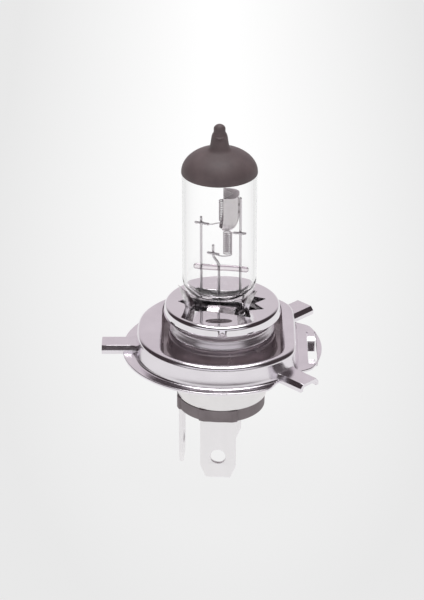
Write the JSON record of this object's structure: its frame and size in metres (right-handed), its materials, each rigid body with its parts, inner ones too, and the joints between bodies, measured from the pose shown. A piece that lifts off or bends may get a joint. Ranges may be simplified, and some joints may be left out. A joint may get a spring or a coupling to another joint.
{
  "type": "headlight bulb",
  "caption": "Twin-filament halogen headlight bulb: capped quartz tube on a collar and a round three-lug flange, with a shell, insulator and blade terminals below.",
  "frame": {"origin": "on the base's axis in the reference plane, which holds the tops of the three locating lugs", "axes": "+Z along the bulb's axis towards the glass tip; -X towards the reference lug; +Y completes the frame, so the common blade is on the +Y side"},
  "size_m": [0.0474, 0.043, 0.0793],
  "materials": {
    "quartz": "clear polished quartz",
    "black_coating": "matte heat-proof coating",
    "molybdenum": "drawn wire and sheet",
    "tungsten": "fine coiled wire",
    "lead_wire": "plated wire",
    "polished_nickel": "mirror bright plating",
    "bright_nickel": "bright plating on pressed steel",
    "spring_steel": "bright strip",
    "satin_nickel": "satin plating",
    "blade_metal": "satin tinned strip",
    "moulding": "matte heat-proof moulding"
  },
  "bodies": {
    "root": {"glass_envelope": "quartz", "pinch_seal": "quartz", "antiglare_cap": "black_coating", "quartz_bridge": "quartz", "pinch_clamp": "spring_steel", "dipped_lead_post": "molybdenum", "main_lead_post": "molybdenum", "common_lead_post": "molybdenum", "dipped_filament_crossbar": "molybdenum", "main_filament_crossbar": "molybdenum", "common_filament_crossbar": "molybdenum", "dipped_beam_filament": "tungsten", "main_beam_filament": "tungsten", "dipped_beam_shield": "molybdenum", "dipped_foil": "molybdenum", "main_foil": "molybdenum", "common_foil": "molybdenum", "main_outer_lead": "lead_wire", "common_outer_lead": "lead_wire", "dipped_outer_lead": "lead_wire", "focus_collar": "polished_nickel", "inner_sleeve": "spring_steel", "mounting_flange": "bright_nickel", "base_shell": "satin_nickel", "insulator": "moulding", "main_beam_blade": "blade_metal", "common_blade": "blade_metal", "dipped_beam_blade": "blade_metal"}
  },
  "joints": []
}
